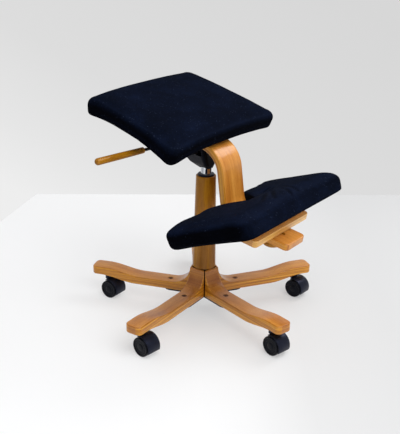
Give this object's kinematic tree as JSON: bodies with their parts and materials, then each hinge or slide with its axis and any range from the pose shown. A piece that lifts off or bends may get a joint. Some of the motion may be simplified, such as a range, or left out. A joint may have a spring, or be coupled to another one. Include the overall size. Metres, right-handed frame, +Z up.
{
  "type": "kneeling balance chair",
  "caption": "Kneeling chair: sloping seat and tilted knee pad on a bent wooden strap over a gas-lift column, with a wooden star base on twin-wheel casters.",
  "frame": {"origin": "On the floor, under the middle of the chair's bounding box; the column axis is 20.1 mm towards +X and 6.7 mm towards +Y from it.", "axes": "+Z up. The sitter faces -Y. The release lever is on the -X side, at the sitter's right."},
  "size_m": [0.5808, 0.5991, 0.5829],
  "materials": {
    "beech": "clear satin lacquer over honey-coloured beech laminate",
    "plywood": "unfinished birch plywood",
    "navy_cloth": "woven navy-black upholstery cloth with fine pale flecks",
    "black_nylon": "black moulded nylon, faint sheen",
    "black_steel": "black semi-gloss powder coat",
    "zinc": "zinc-plated steel",
    "chrome": "hard-chromed, polished"
  },
  "bodies": {
    "base": {"base_hub": "black_steel", "base_arm_1": "beech", "base_arm_2": "beech", "base_arm_3": "beech", "base_arm_4": "beech", "base_arm_5": "beech", "arm_bolt_1": "zinc", "arm_bolt_2": "zinc", "arm_bolt_3": "zinc", "arm_bolt_4": "zinc", "arm_bolt_5": "zinc", "caster_1_stem": "zinc", "caster_2_stem": "zinc", "caster_3_stem": "zinc", "caster_4_stem": "zinc", "caster_5_stem": "zinc", "column_sleeve": "beech", "column_tube": "black_steel", "guide_bush": "black_nylon", "thrust_bearing": "zinc", "retaining_clip": "zinc"},
    "piston": {"piston_rod": "chrome"},
    "upper": {"gas_spring_tube": "chrome", "mechanism_housing": "black_steel", "lever_pin": "zinc", "knee_strap": "beech", "seat_board": "plywood", "seat_cushion": "navy_cloth", "seat_bolt_1": "zinc", "seat_bolt_2": "zinc", "seat_bolt_3": "zinc", "seat_bolt_4": "zinc"},
    "release_lever": {"lever_rod": "black_steel", "lever_handle": "beech"},
    "release_button": {"release_button": "zinc"},
    "knee_carrier": {"knee_cross_bar": "beech", "clamp_bolt": "zinc", "clamp_knob": "beech", "knee_board": "plywood", "knee_pad": "navy_cloth"},
    "caster_1": {"caster_1_hood": "black_nylon", "caster_1_axle": "zinc"},
    "caster_1_wheel_left": {"caster_1_wheel_left": "black_nylon"},
    "caster_1_wheel_right": {"caster_1_wheel_right": "black_nylon"},
    "caster_2": {"caster_2_hood": "black_nylon", "caster_2_axle": "zinc"},
    "caster_2_wheel_left": {"caster_2_wheel_left": "black_nylon"},
    "caster_2_wheel_right": {"caster_2_wheel_right": "black_nylon"},
    "caster_3": {"caster_3_hood": "black_nylon", "caster_3_axle": "zinc"},
    "caster_3_wheel_left": {"caster_3_wheel_left": "black_nylon"},
    "caster_3_wheel_right": {"caster_3_wheel_right": "black_nylon"},
    "caster_4": {"caster_4_hood": "black_nylon", "caster_4_axle": "zinc"},
    "caster_4_wheel_left": {"caster_4_wheel_left": "black_nylon"},
    "caster_4_wheel_right": {"caster_4_wheel_right": "black_nylon"},
    "caster_5": {"caster_5_hood": "black_nylon", "caster_5_axle": "zinc"},
    "caster_5_wheel_left": {"caster_5_wheel_left": "black_nylon"},
    "caster_5_wheel_right": {"caster_5_wheel_right": "black_nylon"}
  },
  "joints": [
    {"name": "seat_swivel", "type": "hinge", "parent": "base", "child": "piston", "pos_m": [0.0201, 0.0067, 0.06], "axis": [0, 0, 1], "continuous": true},
    {"name": "seat_lift", "type": "slide", "parent": "piston", "child": "upper", "axis": [0, 0, 1], "range_m": [0, 0.11]},
    {"name": "lever_lift", "type": "hinge", "parent": "upper", "child": "release_lever", "pos_m": [-0.0039, 0.0067, 0.4491], "axis": [0, 1, 0], "range_deg": [0, 4.5]},
    {"name": "button_press", "type": "slide", "parent": "upper", "child": "release_button", "axis": [0, 0, -1], "range_m": [0, 0.0025]},
    {"name": "knee_slide", "type": "slide", "parent": "upper", "child": "knee_carrier", "axis": [0, -0.9877, -0.1564], "range_m": [0, 0.028]},
    {"name": "caster_1_swivel", "type": "hinge", "parent": "base", "child": "caster_1", "pos_m": [0.22647, 0.17925, 0.06], "axis": [0, 0, 1], "continuous": true},
    {"name": "caster_1_wheel_left_spin", "type": "hinge", "parent": "caster_1", "child": "caster_1_wheel_left", "pos_m": [0.23297, 0.16799, 0.025], "axis": [0.866, 0.5, 0], "continuous": true},
    {"name": "caster_1_wheel_right_spin", "type": "hinge", "parent": "caster_1", "child": "caster_1_wheel_right", "pos_m": [0.23297, 0.16799, 0.025], "axis": [0.866, 0.5, 0], "continuous": true},
    {"name": "caster_2_swivel", "type": "hinge", "parent": "base", "child": "caster_2", "pos_m": [-0.08023, 0.25629, 0.06], "axis": [0, 0, 1], "continuous": true},
    {"name": "caster_2_wheel_left_spin", "type": "hinge", "parent": "caster_2", "child": "caster_2_wheel_left", "pos_m": [-0.07955, 0.24331, 0.025], "axis": [0.9986, 0.0523, 0], "continuous": true},
    {"name": "caster_2_wheel_right_spin", "type": "hinge", "parent": "caster_2", "child": "caster_2_wheel_right", "pos_m": [-0.07955, 0.24331, 0.025], "axis": [0.9986, 0.0523, 0], "continuous": true},
    {"name": "caster_3_swivel", "type": "hinge", "parent": "base", "child": "caster_3", "pos_m": [-0.24828, -0.0116, 0.06], "axis": [0, 0, 1], "continuous": true},
    {"name": "caster_3_wheel_left_spin", "type": "hinge", "parent": "caster_3", "child": "caster_3_wheel_left", "pos_m": [-0.24964, -0.02453, 0.025], "axis": [0.9945, -0.1045, 0], "continuous": true},
    {"name": "caster_3_wheel_right_spin", "type": "hinge", "parent": "caster_3", "child": "caster_3_wheel_right", "pos_m": [-0.24964, -0.02453, 0.025], "axis": [0.9945, -0.1045, 0], "continuous": true},
    {"name": "caster_4_swivel", "type": "hinge", "parent": "base", "child": "caster_4", "pos_m": [-0.04543, -0.2542, 0.06], "axis": [0, 0, 1], "continuous": true},
    {"name": "caster_4_wheel_left_spin", "type": "hinge", "parent": "caster_4", "child": "caster_4_wheel_left", "pos_m": [-0.04813, -0.26691, 0.025], "axis": [0.9781, -0.2079, 0], "continuous": true},
    {"name": "caster_4_wheel_right_spin", "type": "hinge", "parent": "caster_4", "child": "caster_4_wheel_right", "pos_m": [-0.04813, -0.26691, 0.025], "axis": [0.9781, -0.2079, 0], "continuous": true},
    {"name": "caster_5_swivel", "type": "hinge", "parent": "base", "child": "caster_5", "pos_m": [0.24798, -0.13625, 0.06], "axis": [0, 0, 1], "continuous": true},
    {"name": "caster_5_wheel_left_spin", "type": "hinge", "parent": "caster_5", "child": "caster_5_wheel_left", "pos_m": [0.24729, -0.14923, 0.025], "axis": [0.9986, -0.0523, 0], "continuous": true},
    {"name": "caster_5_wheel_right_spin", "type": "hinge", "parent": "caster_5", "child": "caster_5_wheel_right", "pos_m": [0.24729, -0.14923, 0.025], "axis": [0.9986, -0.0523, 0], "continuous": true}
  ],
  "couplings": [
    {"joint": "button_press", "follows": "lever_lift", "m_per_rad": 0.028}
  ]
}
